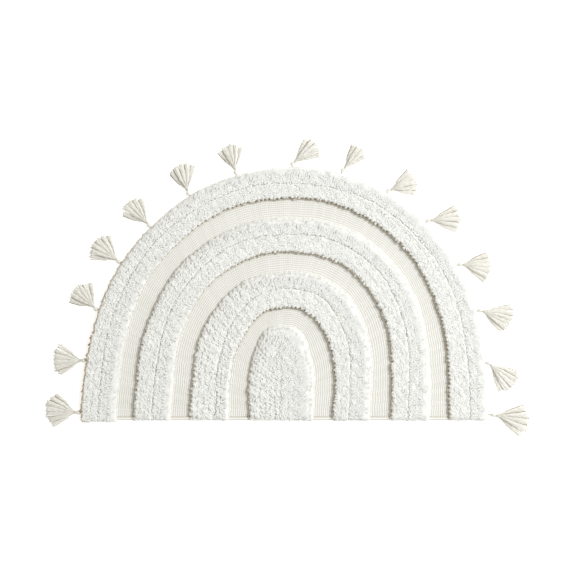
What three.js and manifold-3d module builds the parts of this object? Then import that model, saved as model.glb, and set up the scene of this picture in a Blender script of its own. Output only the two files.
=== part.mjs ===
// Half-moon rug of tufted cotton with tied tassels, lying flat.
//
// Millimetres, +Z up, the floor is z = 0. +X runs along the straight hem and +Y points
// from the hem to the crown. The origin is the middle of the whole outline, on the floor.
//
// The mat is one cloth: a woven ground with three arches of cut pile and a short middle
// tongue of pile standing on it. Each arch of pile is parted by a groove into two ropes.
// The tassels are tied round the rim, and their yarn lies on the floor in small fans.

import * as THREE from 'three';
import { mergeVertices } from 'three/addons/utils/BufferGeometryUtils.js';
import Module from 'manifold-3d';

const wasm = await Module();
wasm.setup();

// Heights above the floor
const GROUND_HEIGHT = 4;
const HEM_HEIGHT = 5.2;
const PILE_HEIGHT = 15;
const RIM_BULGE_HEIGHT = 6;

// The hem along the straight side, and how far the cloth's edge hides under the rim's pile
const HEM_WIDTH = 6;
const HEM_STEP = 1.4;
const EDGE_INSET = 3;

// Stations round the mat, foot to foot, and the sampling used to space them evenly
const STATIONS = 96;
const PATH_SAMPLES = 400;

// Hand-trimmed edges: how far an edge swings in and out and how many swings there are from
// foot to foot, and a quicker shiver that differs from arch to arch
const SWING = 2;
const SWING_TURNS = 3.25;
const SWING_START = 0.04;
const SHIVER = 0.8;
const SHIVER_TURNS = 6.1;
const SHIVER_STEP = 0.61;

// Lumps of the pile: how far they push an edge aside, how high they stand, how long they are,
// and the crossing waves that they are made of
const LUMP_ASIDE = 1.2;
const LUMP_UP = 0.9;
const LUMP_LENGTH = 42;
const LUMP_SIZE = 0.6;
const LUMP_WAVES = [
  [{ right: 1, up: 0.31, start: 0 }, { right: -0.2, up: 0.87, start: 1.57 }],
  [{ right: 0.77, up: 1.7, start: 1 }, { right: 1.3, up: 0, start: 2 }],
];

// How much of the corner's rounding each row takes, from the rim inwards
const CORNER_SHARES = [1, 0.85, 0.4];

// Arches that bound the pile, from the rim inwards. Each is a superellipse standing on the
// hem line. Shift moves its feet to the right and lean carries its crown to the right.
const ARCHES = {
  rim: { halfWidth: 400, rise: 493, squareness: 2.17, shift: 0.5, lean: 14.5 },
  outerParting: { halfWidth: 365, rise: 461, squareness: 2.25, shift: -0.5, lean: 13 },
  outerInside: { halfWidth: 327, rise: 432, squareness: 2.27, shift: -2.5, lean: 14 },
  middleOutside: { halfWidth: 291, rise: 394, squareness: 2.37, shift: -4.5, lean: 17 },
  middleParting: { halfWidth: 252, rise: 361, squareness: 2.5, shift: -8, lean: 20 },
  middleInside: { halfWidth: 217, rise: 326, squareness: 2.53, shift: -6.5, lean: 17 },
  innerOutside: { halfWidth: 178, rise: 288, squareness: 2.65, shift: -8, lean: 16 },
  innerParting: { halfWidth: 132, rise: 255, squareness: 2.75, shift: -4.5, lean: 13 },
  innerInside: { halfWidth: 104, rise: 218, squareness: 2.62, shift: -5.5, lean: 9.5 },
  tongue: { halfWidth: 64, rise: 183, squareness: 3.13, shift: -5.5, lean: 2 },
};

// Bands of pile, outermost first. Spill is how far the pile hangs over the hem at each foot.
const BANDS = [
  { outside: 'rim', parting: 'outerParting', inside: 'outerInside', leftSpill: 5, rightSpill: 2 },
  { outside: 'middleOutside', parting: 'middleParting', inside: 'middleInside', leftSpill: 2, rightSpill: 2 },
  { outside: 'innerOutside', parting: 'innerParting', inside: 'innerInside', leftSpill: 1.5, rightSpill: 2 },
];
const TONGUE_SPILL = 1.5;

// Section across a band. Share runs from one arch to the next, and pile is the share of the
// pile's height above the ground.
const OUTER_ROPE = [
  { share: 0, pile: 0, lumps: 1 },
  { share: 0.1, pile: 0.68, lumps: 1 },
  { share: 0.32, pile: 1, lumps: 1 },
  { share: 0.88, pile: 0.97, lumps: 0.8 },
];
const INNER_ROPE = [
  { share: 0, pile: 0.6, lumps: 0.6 },
  { share: 0.1, pile: 0.96, lumps: 0.8 },
  { share: 0.68, pile: 1, lumps: 1 },
  { share: 0.91, pile: 0.64, lumps: 1 },
];
const TONGUE_SECTION = [
  { share: 0, pile: 0, lumps: 1 },
  { share: 0.055, pile: 0.68, lumps: 1 },
  { share: 0.2, pile: 1, lumps: 1 },
];
const TONGUE_CREST_RISE = 132;

// Stations at a foot, from the straight side inwards: how high on the leg the cloth and the
// pile lie there, how much of the band's spill carries the pile outwards, whether the cloth is
// hem there, the pile's share of its height, and how far the rim's corner is rounded off.
const FOOT = [
  { cloth: 0, hem: 1, spill: 1, pileReach: 0, pileShare: 0.2, corner: 11 },
  { cloth: 2.5, hem: 1, spill: 0.6, pileReach: 1, pileShare: 0.72, corner: 5 },
  { cloth: HEM_WIDTH, hem: 1, spill: 0, pileReach: 5, pileShare: 0.95, corner: 1.5 },
  { cloth: HEM_WIDTH + HEM_STEP, hem: 0, spill: 0, pileReach: 12, pileShare: 1, corner: 0 },
];

// Tassels from the left foot round to the right one. Along is the share of the rim's length,
// out is from the rim to the knot's middle, aim is where the yarn points, in degrees from +X,
// spread is half the fan's angle, and bend is how far its ends curl to the left of the aim.
const TASSELS = [
  { along: 0.0165, out: 5.6, aim: 173, length: 63, spread: 32, bend: 0 },
  { along: 0.087, out: 5.6, aim: 179, length: 60, spread: 29, bend: -1 },
  { along: 0.158, out: 5.6, aim: 131, length: 57, spread: 29, bend: 0 },
  { along: 0.2285, out: 5.6, aim: 140, length: 60, spread: 29, bend: 1 },
  { along: 0.292, out: 5.6, aim: 131, length: 62, spread: 24, bend: 0 },
  { along: 0.3605, out: 5.6, aim: 105, length: 60, spread: 24, bend: -1 },
  { along: 0.43, out: 5.6, aim: 102, length: 56, spread: 24, bend: 0 },
  { along: 0.507, out: 5.6, aim: 40, length: 60, spread: 20, bend: -2 },
  { along: 0.574, out: 6.5, aim: 48, length: 57, spread: 17, bend: 0 },
  { along: 0.641, out: 5.6, aim: 18, length: 58, spread: 24, bend: 1 },
  { along: 0.707, out: 5.8, aim: 3, length: 64, spread: 21, bend: -1 },
  { along: 0.779, out: 5.8, aim: -7, length: 62, spread: 26, bend: -1 },
  { along: 0.8465, out: 6.2, aim: -19, length: 66, spread: 25, bend: -1 },
  { along: 0.918, out: 5.6, aim: -43, length: 68, spread: 22, bend: -1 },
  { along: 0.988, out: 10.5, aim: -12, length: 70, spread: 23, bend: 0 },
];

// Knot, tie and yarn of a tassel
const KNOT_RADIUS = 4.6;
const KNOT_SIDES = 8;
// Section of the knot: the distance along its axis and out from it, as shares of its radius
const KNOT_SECTION = [[-1, 0], [-0.85, 0.66], [0, 1], [0.95, 0.62]];
// The skirt where the yarns come together: its end, the room round the yarns, and the most
// that it may be of the knot's radius
const SKIRT_END = 10.5;
const SKIRT_ROOM = 0.6;
const SKIRT_SHARE = 0.98;
const TIE_RADIUS = 2.1;
const TIE_SIDES = 6;
// The gap between a tie and the rim
const GAP = 0.35;
// Strands of the fan: their sides, the angle between them in degrees, the slit between two,
// the thinnest they may be, how they taper at the tip, how much shorter they are at the fan's
// sides, and how ragged their ends are, both as shares of their length
const STRAND_SIDES = 3;
const STRAND_PITCH = 4.2;
const SLIT = 0.3;
const THINNEST = 0.24;
const TIP_TAPER = 0.82;
const EDGE_SHORTER = 0.05;
const RAGGED = 0.07;
// Edges below this length and corners closer than this are joined
const SMALLEST_EDGE = 0.05;
const SAME_PLACE = 0.0001;

// Rings of a strand: distance from the knot as a plain length plus a share of the strand's
// length, how far the fan is open there, how high its flat side lies, and how thick it is.
const STRAND_RINGS = [
  { near: 8, share: 0, open: 0.68, low: 0.9, thick: 5 },
  { near: 4, share: 0.5, open: 1, low: 0, thick: 3.8 },
  { near: 0, share: 1, open: 1, low: 0, thick: 2.4 },
];

const materials = {
  pile: new THREE.MeshStandardMaterial({ color: 0xebebe4, roughness: 0.96, metalness: 0 }),
  yarn: new THREE.MeshStandardMaterial({ color: 0xefece0, roughness: 0.92, metalness: 0 }),
};

// Gives a number from -1 to 1 that is always the same for the same pair. The spins have no
// simple ratio, so that neighbouring pairs give unlike numbers.
const FIRST_SPIN = 12.99;
const SECOND_SPIN = 78.23;
const SPIN_SCALE = 43758.5;
function unevenness(first, second) {
  const spun = Math.sin(first * FIRST_SPIN + second * SECOND_SPIN) * SPIN_SCALE;
  return 2 * (spun - Math.floor(spun)) - 1;
}

// Gives the lumps of the pile, from about -1 to 1, by the place on the mat
function lumpAt(place) {
  const turn = (2 * Math.PI) / LUMP_LENGTH;
  const wave = ({ right, up, start }) => Math.sin(turn * (right * place.x + up * place.y) + start);
  return LUMP_SIZE * LUMP_WAVES.reduce((sum, [first, second]) => sum + wave(first) * wave(second), 0);
}

// Gives how far a trimmed edge wanders outwards along an arch, in millimetres
function wander(share, order) {
  const swing = -Math.cos(2 * Math.PI * SWING_TURNS * (share - SWING_START));
  const shiver = Math.sin(2 * Math.PI * (SHIVER_TURNS * share + SHIVER_STEP * order));
  return SWING * swing + SHIVER * shiver;
}

function mix(from, to, share) {
  return from + (to - from) * share;
}

// Gives a leg's distance from its arch's middle at a height above the hem line
function legAt(arch, height) {
  const climbed = Math.max(height, 0) / arch.rise;
  return arch.halfWidth * (1 - climbed ** arch.squareness) ** (1 / arch.squareness);
}

function leanAt(arch, height) {
  return arch.shift + (arch.lean * Math.max(height, 0)) / arch.rise;
}

// Lays points along an arch between its feet at the given height, evenly spaced
function evenPoints(arch, footHeight, steps) {
  const start = Math.asin((footHeight / arch.rise) ** (arch.squareness / 2));
  const path = [];
  const lengths = [0];
  for (let sample = 0; sample <= PATH_SAMPLES; sample += 1) {
    const turn = mix(Math.PI - start, start, sample / PATH_SAMPLES);
    const across = Math.cos(turn);
    const height = arch.rise * Math.sin(turn) ** (2 / arch.squareness);
    const aside = arch.halfWidth * Math.sign(across) * Math.abs(across) ** (2 / arch.squareness);
    path.push(new THREE.Vector2(aside + leanAt(arch, height), height));
    if (sample > 0) lengths.push(lengths[sample - 1] + path[sample].distanceTo(path[sample - 1]));
  }
  const points = [];
  let sample = 0;
  for (let step = 0; step <= steps; step += 1) {
    const wanted = (lengths[PATH_SAMPLES] * step) / steps;
    while (sample < PATH_SAMPLES - 1 && lengths[sample + 1] < wanted) sample += 1;
    const share = (wanted - lengths[sample]) / (lengths[sample + 1] - lengths[sample]);
    points.push(path[sample].clone().lerp(path[sample + 1], share));
  }
  return points;
}

// Lays an arch's points for every station: a few at each foot, the rest evenly between.
// The spill of a leg carries its first points past the hem line.
function stationPoints(arch, isPile, leftSpill, rightSpill) {
  const last = FOOT.length - 1;
  const topFoot = isPile ? FOOT[last].pileReach : FOOT[last].cloth;
  const points = evenPoints(arch, topFoot, STATIONS - 2 * last);
  const legs = { left: [], right: [] };
  for (const foot of FOOT.slice(0, last)) {
    for (const [side, sign, spill] of [['left', -1, leftSpill], ['right', 1, rightSpill]]) {
      const height = isPile ? foot.pileReach - foot.spill * spill : foot.cloth;
      legs[side].push(new THREE.Vector2(leanAt(arch, height) + sign * legAt(arch, height), height));
    }
  }
  return [...legs.left, ...points, ...legs.right.reverse()];
}

// Gives the foot row of a station, or the topmost one for all stations between the feet
function footOf(station) {
  const fromEnd = Math.min(station, STATIONS - station);
  return FOOT[Math.min(fromEnd, FOOT.length - 1)];
}

// Lists the rows of points across half the mat, from the rim to the tongue's crest
function sectionRows() {
  const rows = [];
  const add = (from, to, steps, spills) => {
    for (const step of steps) rows.push({ from, to, ...step, ...spills });
  };
  for (const band of BANDS) {
    const spills = { leftSpill: band.leftSpill, rightSpill: band.rightSpill };
    add(band.outside, band.parting, OUTER_ROPE, spills);
    add(band.parting, band.inside, INNER_ROPE, spills);
    add(band.inside, band.inside, [{ share: 0, pile: 0, lumps: 1 }], spills);
  }
  const spills = { leftSpill: TONGUE_SPILL, rightSpill: TONGUE_SPILL };
  add('tongue', 'crest', TONGUE_SECTION, spills);
  return rows;
}

// Lays the tongue's crest, a line up its middle that both halves of the mat share
function crestPoints() {
  const half = STATIONS / 2;
  const crest = [];
  for (let station = 0; station <= STATIONS; station += 1) {
    const fromEnd = Math.min(station, STATIONS - station);
    const foot = footOf(station);
    const start = foot.pileReach - foot.spill * TONGUE_SPILL;
    const climbed = Math.max(fromEnd - (FOOT.length - 1), 0) / (half - (FOOT.length - 1));
    const height = start + (TONGUE_CREST_RISE - start) * climbed;
    crest.push(new THREE.Vector2(leanAt(ARCHES.tongue, height), height));
  }
  return crest;
}

// Gives the direction from a place to the tongue's middle, or straight across at a foot
function inwardsFrom(place, arch, foot) {
  const middle = new THREE.Vector2(leanAt(arch, place.y), TONGUE_CREST_RISE / 2);
  const inwards = middle.sub(place);
  if (foot.pileShare < 1) inwards.y = 0;
  return inwards.normalize();
}

// Gives one row of the mat's upper side as points in space
function rowPoints(row, order) {
  const isCloth = row.pile === 0 && order > 0;
  const outer = stationPoints(ARCHES[row.from], !isCloth, row.leftSpill, row.rightSpill);
  const inner = row.to === 'crest'
    ? crestPoints()
    : stationPoints(ARCHES[row.to], !isCloth, row.leftSpill, row.rightSpill);
  const points = [];
  for (let station = 0; station <= STATIONS; station += 1) {
    const foot = footOf(station);
    const place = outer[station].clone().lerp(inner[station], row.share);
    const edge = wander(station / STATIONS, order) + LUMP_ASIDE * lumpAt(place);
    const rounding = foot.corner * (CORNER_SHARES[order] ?? 0);
    const moved = rounding - edge * row.lumps * foot.pileShare;
    place.addScaledVector(inwardsFrom(place, ARCHES.tongue, foot), moved);
    const floorOfPile = mix(GROUND_HEIGHT, HEM_HEIGHT, foot.hem);
    const fullPile = PILE_HEIGHT - GROUND_HEIGHT + LUMP_UP * lumpAt(place);
    const pileTop = floorOfPile + fullPile * row.pile * foot.pileShare;
    points.push(new THREE.Vector3(place.x, place.y, order === 0 ? RIM_BULGE_HEIGHT : pileTop));
  }
  return points;
}

// Gives the tongue's crest as points in space
function crestRowPoints() {
  return crestPoints().map((place, station) => {
    const height = mix(HEM_HEIGHT, PILE_HEIGHT, footOf(station).pileShare);
    return new THREE.Vector3(place.x, place.y, height + LUMP_UP * lumpAt(place));
  });
}

// Lists the rows and stations of the upper side's edge, round the rim and back along the
// straight side
function outlineOf(rows) {
  const outline = [];
  for (let station = 0; station <= STATIONS; station += 1) outline.push({ order: 0, station });
  for (let order = 1; order < rows.length; order += 1) outline.push({ order, station: STATIONS });
  for (let order = rows.length - 2; order > 0; order -= 1) outline.push({ order, station: 0 });
  return outline;
}

// Gives the cloth's edge on the floor below a point of the outline, drawn in under the rim
function clothEdge(above, order, station) {
  const place = new THREE.Vector2(above.x, Math.max(above.y, 0));
  if (order > 0) return place;
  const foot = footOf(station);
  return place.addScaledVector(inwardsFrom(place, ARCHES.rim, foot), EDGE_INSET * foot.pileShare);
}

// Makes the mat: the uneven upper side, a low edge all round and a flat underside
function matGeometry() {
  const rows = [...sectionRows().map(rowPoints), crestRowPoints()];
  const positions = [];
  const faces = [];
  const store = (point) => {
    positions.push(point.x, point.y, point.z);
    return positions.length / 3 - 1;
  };
  const wall = (first, second, third, fourth) => faces.push(first, second, third, first, third, fourth);

  // Both halves of the mat share the points of the crest
  const crestOrder = rows.length - 1;
  const upper = rows.map((row, order) => row.map((point, station) => (
    order === crestOrder && station > STATIONS / 2 ? null : store(point)
  )));
  for (let station = STATIONS / 2 + 1; station <= STATIONS; station += 1) {
    upper[crestOrder][station] = upper[crestOrder][STATIONS - station];
  }
  for (let order = 0; order < crestOrder; order += 1) {
    const [here, inner] = [upper[order], upper[order + 1]];
    for (let station = 0; station < STATIONS; station += 1) {
      wall(here[station + 1], here[station], inner[station], inner[station + 1]);
    }
  }

  const outline = outlineOf(rows);
  const edgePlaces = outline.map(({ order, station }) => clothEdge(rows[order][station], order, station));
  const edge = edgePlaces.map((place) => store(new THREE.Vector3(place.x, place.y, 0)));
  outline.forEach(({ order, station }, index) => {
    const next = (index + 1) % outline.length;
    const aboveNext = upper[outline[next].order][outline[next].station];
    wall(upper[order][station], aboveNext, edge[next], edge[index]);
  });
  for (const [first, second, third] of THREE.ShapeUtils.triangulateShape(edgePlaces, [])) {
    faces.push(edge[third], edge[second], edge[first]);
  }
  return meshGeometry(positions, faces);
}

function meshGeometry(positions, faces) {
  const geometry = new THREE.BufferGeometry();
  geometry.setAttribute('position', new THREE.Float32BufferAttribute(positions, 3));
  geometry.setIndex(faces);
  geometry.computeVertexNormals();
  return geometry;
}

// Turns a closed mesh into a solid that can be joined to others
function solidOf(geometry) {
  const bare = geometry.clone();
  bare.deleteAttribute('normal');
  bare.deleteAttribute('uv');
  const merged = mergeVertices(bare, SAME_PLACE);
  const mesh = new wasm.Mesh({
    numProp: 3,
    vertProperties: new Float32Array(merged.attributes.position.array),
    triVerts: new Uint32Array(merged.index.array),
  });
  return new wasm.Manifold(mesh);
}

function geometryOf(solid) {
  const mesh = solid.getMesh();
  return meshGeometry(mesh.vertProperties, Array.from(mesh.triVerts));
}

// Makes the round knot and the short skirt of gathered yarn, resting on the floor on a flat
function knotGeometry(spread) {
  const skirtRadius = Math.min(SKIRT_END * Math.sin(spread) + SKIRT_ROOM, SKIRT_SHARE * KNOT_RADIUS);
  const profile = [
    ...KNOT_SECTION.map(([along, out]) => new THREE.Vector2(out * KNOT_RADIUS, along * KNOT_RADIUS)),
    new THREE.Vector2(skirtRadius, SKIRT_END),
    new THREE.Vector2(0, SKIRT_END),
  ];
  const knot = new THREE.LatheGeometry(profile, KNOT_SIDES, Math.PI / KNOT_SIDES);
  const flatsHeight = KNOT_RADIUS * Math.cos(Math.PI / KNOT_SIDES);
  return knot.rotateZ(-Math.PI / 2).translate(0, 0, flatsHeight);
}

// Makes the tie, a short wound neck from the knot back to the rim
function tieGeometry(length, turn) {
  const profile = [
    new THREE.Vector2(0, 0),
    new THREE.Vector2(TIE_RADIUS, 0),
    new THREE.Vector2(TIE_RADIUS, length),
    new THREE.Vector2(0, length),
  ];
  const tie = new THREE.LatheGeometry(profile, TIE_SIDES, Math.PI / TIE_SIDES);
  return tie.rotateZ(-Math.PI / 2).rotateZ(turn).translate(0, 0, KNOT_RADIUS);
}

// Gives the corners of one ring of a strand: its flat side below and its ridge above
function strandRing(ring, tassel, angle, length, pitch, taper) {
  const reach = ring.near + ring.share * length;
  const width = Math.max(reach * pitch * ring.open - SLIT, THINNEST) * taper;
  const curl = tassel.bend * (reach / tassel.length) ** 2;
  const middle = new THREE.Vector2(reach * Math.cos(angle), reach * Math.sin(angle) * ring.open + curl);
  const edge = new THREE.Vector2(-Math.sin(angle), Math.cos(angle)).multiplyScalar(width / 2);
  return [
    middle.x + edge.x, middle.y + edge.y, ring.low,
    middle.x, middle.y, ring.low + ring.thick,
    middle.x - edge.x, middle.y - edge.y, ring.low,
  ];
}

// Makes one strand of the fan: three-sided, flat side down, its ridge thinning to the tip
function strandGeometry(tassel, order, number, count) {
  const spread = THREE.MathUtils.degToRad(tassel.spread);
  const place = (2 * number) / (count - 1) - 1;
  const pitch = (2 * spread) / (count - 1);
  const length = tassel.length * (1 - EDGE_SHORTER * place * place + RAGGED * unevenness(order, number));
  const last = STRAND_RINGS.length - 1;
  const points = STRAND_RINGS.flatMap((ring, index) => (
    strandRing(ring, tassel, spread * place, length, pitch, index === last ? TIP_TAPER : 1)
  ));
  const tip = last * STRAND_SIDES;
  const faces = [0, 2, 1, tip, tip + 1, tip + 2];
  for (let ring = 0; ring < last; ring += 1) {
    for (let side = 0; side < STRAND_SIDES; side += 1) {
      const here = ring * STRAND_SIDES + side;
      const beside = ring * STRAND_SIDES + ((side + 1) % STRAND_SIDES);
      const [ahead, aheadBeside] = [here + STRAND_SIDES, beside + STRAND_SIDES];
      faces.push(here, beside, aheadBeside, here, aheadBeside, ahead);
    }
  }
  return meshGeometry(points, faces);
}

// Joins a tassel's knot, tie and strands, whose roots are fused in the knot
function tasselGeometry(tassel, order, tieLength, tieTurn) {
  const spread = THREE.MathUtils.degToRad(tassel.spread);
  let solid = solidOf(knotGeometry(spread)).add(solidOf(tieGeometry(tieLength, tieTurn)));
  const count = Math.round((2 * tassel.spread) / STRAND_PITCH) + 1;
  for (let number = 0; number < count; number += 1) {
    solid = solid.add(solidOf(strandGeometry(tassel, order, number, count)));
  }
  return geometryOf(solid.simplify(SMALLEST_EDGE));
}

// Gives the rim's place and outward direction at a share of its length, on the mat as built
function rimAt(rimRow, share) {
  const lengths = [0];
  for (let station = 1; station <= STATIONS; station += 1) {
    lengths.push(lengths[station - 1] + rimRow[station].distanceTo(rimRow[station - 1]));
  }
  const wanted = lengths[STATIONS] * share;
  const station = Math.max(lengths.findIndex((length) => length >= wanted) - 1, 0);
  const step = lengths[station + 1] - lengths[station];
  const place = rimRow[station].clone().lerp(rimRow[station + 1], (wanted - lengths[station]) / step);
  const along = rimRow[station + 1].clone().sub(rimRow[station]);
  return { place, outwards: Math.atan2(along.x, -along.y) };
}

const mat = new THREE.Mesh(matGeometry(), materials.pile);
mat.name = 'rug';

const rug = new THREE.Group();
rug.add(mat);

const rimRow = rowPoints(sectionRows()[0], 0);
TASSELS.forEach((tassel, order) => {
  const { place, outwards } = rimAt(rimRow, tassel.along);
  const aim = THREE.MathUtils.degToRad(tassel.aim);
  const geometry = tasselGeometry(tassel, order, tassel.out - GAP, outwards + Math.PI - aim);
  const mesh = new THREE.Mesh(geometry, materials.yarn);
  mesh.name = `tassel_${String(order + 1).padStart(2, '0')}`;
  mesh.position.set(
    place.x + tassel.out * Math.cos(outwards),
    place.y + tassel.out * Math.sin(outwards),
    0,
  );
  mesh.rotation.z = aim;
  rug.add(mesh);
});

// The origin goes to the middle of the outline
rug.updateMatrixWorld(true);
const outlineBox = new THREE.Box3().setFromObject(rug, true);
const middle = outlineBox.getCenter(new THREE.Vector3());
rug.position.set(-middle.x, -middle.y, -outlineBox.min.z);

const part = new THREE.Group();
part.add(rug);

export default part;
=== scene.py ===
"""Half-moon rug of tufted cotton with tied tassels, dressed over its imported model.

Sizes are in millimetres and turn into metres when a mesh is made. On the plan, +X runs
along the straight hem and +Y from the hem to the crown. Plan places are measured from the
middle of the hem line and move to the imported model's own origin when a mesh is made.
"""

import math
from collections import namedtuple

import bpy
import numpy as np
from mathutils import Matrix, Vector


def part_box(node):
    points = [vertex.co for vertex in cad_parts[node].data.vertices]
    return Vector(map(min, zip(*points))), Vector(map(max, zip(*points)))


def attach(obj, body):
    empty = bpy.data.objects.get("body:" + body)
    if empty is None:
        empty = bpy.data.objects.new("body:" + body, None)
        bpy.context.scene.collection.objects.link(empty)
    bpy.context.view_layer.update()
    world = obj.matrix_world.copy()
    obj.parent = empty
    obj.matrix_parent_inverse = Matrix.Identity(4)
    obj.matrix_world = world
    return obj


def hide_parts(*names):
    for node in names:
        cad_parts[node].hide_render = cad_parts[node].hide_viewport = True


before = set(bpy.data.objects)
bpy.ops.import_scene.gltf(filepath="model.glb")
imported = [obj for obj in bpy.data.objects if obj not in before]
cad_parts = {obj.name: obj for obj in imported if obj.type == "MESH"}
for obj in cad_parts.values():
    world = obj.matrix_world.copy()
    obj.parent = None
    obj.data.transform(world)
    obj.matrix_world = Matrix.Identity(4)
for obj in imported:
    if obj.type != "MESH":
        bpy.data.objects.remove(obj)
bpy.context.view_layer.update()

MM = 0.001

# Heights above the floor
GROUND_HEIGHT = 4
CLOTH_THICKNESS = 2.6
HEM_HEIGHT = 5.2
PILE_HEIGHT = 15

# The straight hem, and how far the cloth's edge hides under the rim's pile
HEM_WIDTH = 6
EDGE_INSET = 3

# Hand-trimmed edges: how far an edge swings in and out, how many swings there are from foot to
# foot, and a quicker shiver that differs from arch to arch
SWING = 2
SWING_TURNS = 3.25
SWING_START = 0.04
SHIVER = 0.8
SHIVER_TURNS = 6.1
SHIVER_STEP = 0.61

# Lumps of the pile: how far they push an edge aside, how high they stand, how long they are,
# and the crossing waves that they are made of
LUMP_ASIDE = 1.2
LUMP_UP = 0.9
LUMP_LENGTH = 42
LUMP_SIZE = 0.6
Wave = namedtuple("Wave", "right up start")
LUMP_WAVES = (
    (Wave(1, 0.31, 0), Wave(-0.2, 0.87, 1.57)),
    (Wave(0.77, 1.7, 1), Wave(1.3, 0, 2)),
)

# Arches that bound the pile, superellipses standing on the hem line, from the rim inwards.
# The order is each arch's place in the pattern of wandering edges.
Arch = namedtuple("Arch", "order half_width rise squareness shift lean")
ARCHES = {
    "rim": Arch(0, 400, 493, 2.17, 0.5, 14.5),
    "outer parting": Arch(4, 365, 461, 2.25, -0.5, 13),
    "outer inside": Arch(8, 327, 432, 2.27, -2.5, 14),
    "middle outside": Arch(9, 291, 394, 2.37, -4.5, 17),
    "middle parting": Arch(13, 252, 361, 2.5, -8, 20),
    "middle inside": Arch(17, 217, 326, 2.53, -6.5, 17),
    "inner outside": Arch(18, 178, 288, 2.65, -8, 16),
    "inner parting": Arch(22, 132, 255, 2.75, -4.5, 13),
    "inner inside": Arch(26, 104, 218, 2.62, -5.5, 9.5),
    "tongue": Arch(27, 64, 183, 3.13, -5.5, 2),
}
# How far up the tongue its crest runs
TONGUE_CREST_RISE = 132
# How finely arches, trimmed edges and the distance between two edges are sampled
PATH_SAMPLES = 2400
BORDER_STEPS = 1600
PATCH_SAMPLES = 41

# How the pile ends at a foot: its share of the full height, by the distance from the end,
# and how far the rim's corner is rounded off
FOOT_REACH = (0, 2.5, 6, 12)
FOOT_SHARES = (0.2, 0.72, 0.95, 1)
CORNER_ROUNDING = (11, 5, 1.5, 0)

# Section of a rope: the share of the pile's height, by the share across from its free edge. The
# pile is brushed one way, in degrees from +X: flanks that face that way are gentle and their
# tufts lie down the slope, and those that face away are steep.
GENTLE_FLANK = ((0, 0.04, 0.1, 0.2, 0.34), (0.1, 0.4, 0.66, 0.87, 1))
STEEP_FLANK = ((0, 0.02, 0.05, 0.1, 0.2), (0.25, 0.62, 0.85, 0.96, 1))
PARTING_DIP = ((0.93, 0.975, 1), (1, 0.9, 0.62))
GENTLE_LEAN = ((0, 0.2, 0.5, 0.8, 1), (1, 0.8, 0.3, 0.1, 0))
STEEP_LEAN = ((0, 0.2, 1), (0.3, 0.1, 0))
BRUSHED_TOWARDS = 40
BRUSHED_LEAN = 0.3
FLANK_CHANGE = 0.9
# The foot of a steep flank, in a channel and at the rim: how much painted shadow turns it tan,
# by the distance from the edge
CHANNEL_FOOT_SHADOW = ((0, 2), (0.7, 0))
RIM_FOOT_SHADOW = ((0, 1.5, 5), (1, 0.9, 0))
# How much less ruffled the pile is where an arch faces the way it is brushed, and on a gentle
# flank, by the share across from the free edge
CALMED = 0.9
FLANK_CALMED = ((0.12, 0.42), (0.75, 0))
# Which of a rope's two edges is free
OUTER_FREE = 1
INNER_FREE = -1
# Clumps of tufts: their pitch, how far tips are drawn to a clump's middle, and how deep the
# grooves between clumps are
Clumps = namedtuple("Clumps", "pitch pull groove")
FINE = Clumps(9, 0.25, 1.3)
COARSE = Clumps(10, 0.35, 2.6)
IN_ROWS = Clumps(11, 0.35, 2.6)
# In pitches: how far the courses of clumps slant, how far a clump's middle is off its place,
# and how the groove round a clump deepens away from that middle
CLUMP_SLANT = 0.5
CLUMP_JITTER = 0.18
GROOVE_SECTION = ((0.3, 0.62), (0, 1))
# Added to a clump's row and column to give it a second uneven number
OTHER_ROW = 7
OTHER_COLUMN = 3

# Beads along a trimmed edge: how far one bulges out at each clump, in a channel and at the rim,
# how much less a gentle flank bulges, and how far in from the edge the bulge dies away
BEAD_DEPTH = 5.8
RIM_BEAD_DEPTH = 1.6
BEAD_CALMED = 0.75
BEAD_REACH = 4.5

# Ropes of pile: the arches that bound each one, how far its feet spill over the hem, which of
# its edges is free, and its clumps
Rope = namedtuple("Rope", "name outside inside spills free clumps")
ROPES = (
    Rope("outer_band_rim_pile", "rim", "outer parting", (5, 2), OUTER_FREE, FINE),
    Rope("outer_band_inside_pile", "outer parting", "outer inside", (5, 2), INNER_FREE, FINE),
    Rope("middle_band_outside_pile", "middle outside", "middle parting", (2, 2), OUTER_FREE, FINE),
    Rope("middle_band_inside_pile", "middle parting", "middle inside", (2, 2), INNER_FREE, FINE),
    Rope("inner_band_outside_pile", "inner outside", "inner parting", (1.5, 2), OUTER_FREE, COARSE),
    Rope("inner_band_inside_pile", "inner parting", "inner inside", (1.5, 2), INNER_FREE, COARSE),
    Rope("tongue_pile", "tongue", "crest", (1.5, 1.5), OUTER_FREE, IN_ROWS),
)

# Tufts of cut pile: their pitch and how far they are off it, how far a leaning one reaches and
# how much of that is beyond its place, and their half width and depth between root and tip
TUFT_PITCH = 3.8
TUFT_SCATTER = 0.45
TUFT_REACH = 9
TUFT_BEYOND = 0.2
TUFT_SIDES = 4
TUFT_RINGS = (0, 0.36, 0.72)
TUFT_WIDTHS = (1.9, 2.7, 2.2)
TUFT_DEPTHS = (0.5, 0.6, 0.42)
TUFT_SIZES = (0.9, 1.15)
# How a tuft stands: how high its bend arches over the pile's top and how near it is to the
# root, how much a leaning tip droops, how uneven the tops are, and how deep the root is
TUFT_ARCHING = 0.3
TUFT_BEND = 0.38
TUFT_DROOP = 0.15
TUFT_UNEVEN = 0.12
TUFT_ROOT_DEPTH = 0.6
# How light a tuft's root and the bed are: painted shade under the tufts
ROOT_PAINTED_LIGHTNESS = 0.92
# Swirls in the pile: how much tufts lean with them and how long they are, outwards and along
# the arch, and how much each tuft leans in its own way
SWIRL_OUT = 0.35
SWIRL_OUT_LENGTH = 31
OWN_OUT = 0.13
SWIRL_ALONG = 0.45
SWIRL_ALONG_LENGTH = 23
OWN_ALONG = 0.16
# The most that a tuft leans, and how much tufts lean out over the hem near the end of a rope
MOST_LEAN = 1.15
FOOT_LEAN = 0.9
FOOT_LEAN_REACH = 10

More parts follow.
